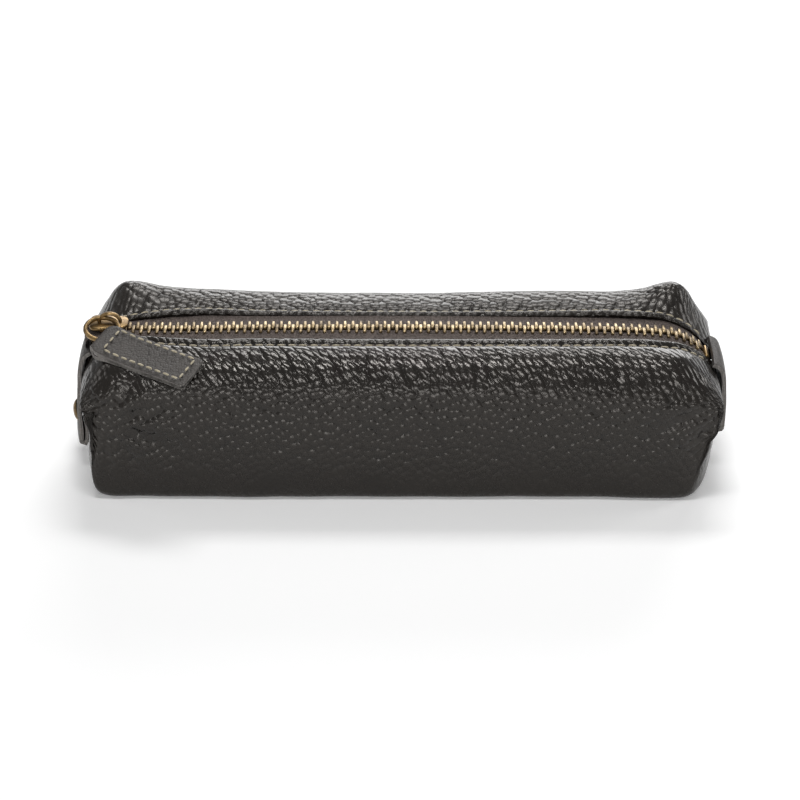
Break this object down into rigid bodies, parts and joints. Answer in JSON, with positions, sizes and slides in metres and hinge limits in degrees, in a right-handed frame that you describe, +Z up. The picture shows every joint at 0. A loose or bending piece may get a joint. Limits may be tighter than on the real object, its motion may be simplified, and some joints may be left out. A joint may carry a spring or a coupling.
{
  "type": "fountain pen case",
  "caption": "Soft zipped leather case with boxed ends, a metal zip along the top, a stitched pull and a riveted tab at each end, for carrying pens.",
  "frame": {"origin": "centre of the base, on the surface the case stands on", "axes": "+X along the zip, from the parked slider to the far end; -Y the front; +Z up"},
  "size_m": [0.208, 0.05, 0.0552],
  "materials": {
    "leather": "pebbled, low sheen",
    "lining_cloth": "plain weave",
    "zip_tape": "herringbone weave",
    "antique_brass": "antique"
  },
  "bodies": {
    "case": {"body_panel": "leather", "left_lower_end": "leather", "right_lower_end": "leather", "left_upper_end": "leather", "right_upper_end": "leather", "body_lining": "lining_cloth", "left_lining": "lining_cloth", "right_lining": "lining_cloth", "left_tape": "zip_tape", "right_tape": "zip_tape", "left_teeth": "antique_brass", "right_teeth": "antique_brass", "top_stops": "antique_brass", "bottom_stop": "antique_brass", "left_tab": "leather", "right_tab": "leather", "left_rivet": "antique_brass", "right_rivet": "antique_brass", "left_rivet_washer": "antique_brass", "right_rivet_washer": "antique_brass"},
    "front_lip": {"front_lip": "leather", "front_facing": "lining_cloth", "front_tape": "zip_tape", "front_teeth": "antique_brass"},
    "back_lip": {"back_lip": "leather", "back_facing": "lining_cloth", "back_tape": "zip_tape", "back_teeth": "antique_brass"},
    "slider": {"slider_body": "antique_brass", "slider_crown": "antique_brass"},
    "pull_ring": {"pull_ring": "antique_brass"},
    "pull_strip": {"pull_strip": "leather"}
  },
  "joints": [
    {"name": "slider_run", "type": "slide", "parent": "case", "child": "slider", "axis": [1, 0, 0], "range_m": [0, 0.1725], "deforming": ["front_teeth", "back_teeth", "left_teeth", "right_teeth"]},
    {"name": "front_lip_open", "type": "hinge", "parent": "case", "child": "front_lip", "pos_m": [0, -0.0193, 0.04556], "axis": [1, 0, 0], "range_deg": [0, 65]},
    {"name": "back_lip_open", "type": "hinge", "parent": "case", "child": "back_lip", "pos_m": [0, 0.0193, 0.04556], "axis": [-1, 0, 0], "range_deg": [0, 65]},
    {"name": "pull_ring_swing", "type": "hinge", "parent": "slider", "child": "pull_ring", "pos_m": [-0.0914, 0, 0.0525], "axis": [-0.6293, 0.7771, 0], "range_deg": [0, 30]},
    {"name": "pull_strip_swivel", "type": "hinge", "parent": "pull_ring", "child": "pull_strip", "pos_m": [-0.09072, -0.00518, 0.0525], "axis": [-0.4067, -0.9135, 0], "range_deg": [0, 100]}
  ],
  "couplings": [
    {"joint": "pull_ring_swing", "follows": "pull_strip_swivel", "ratio": 0.3}
  ]
}
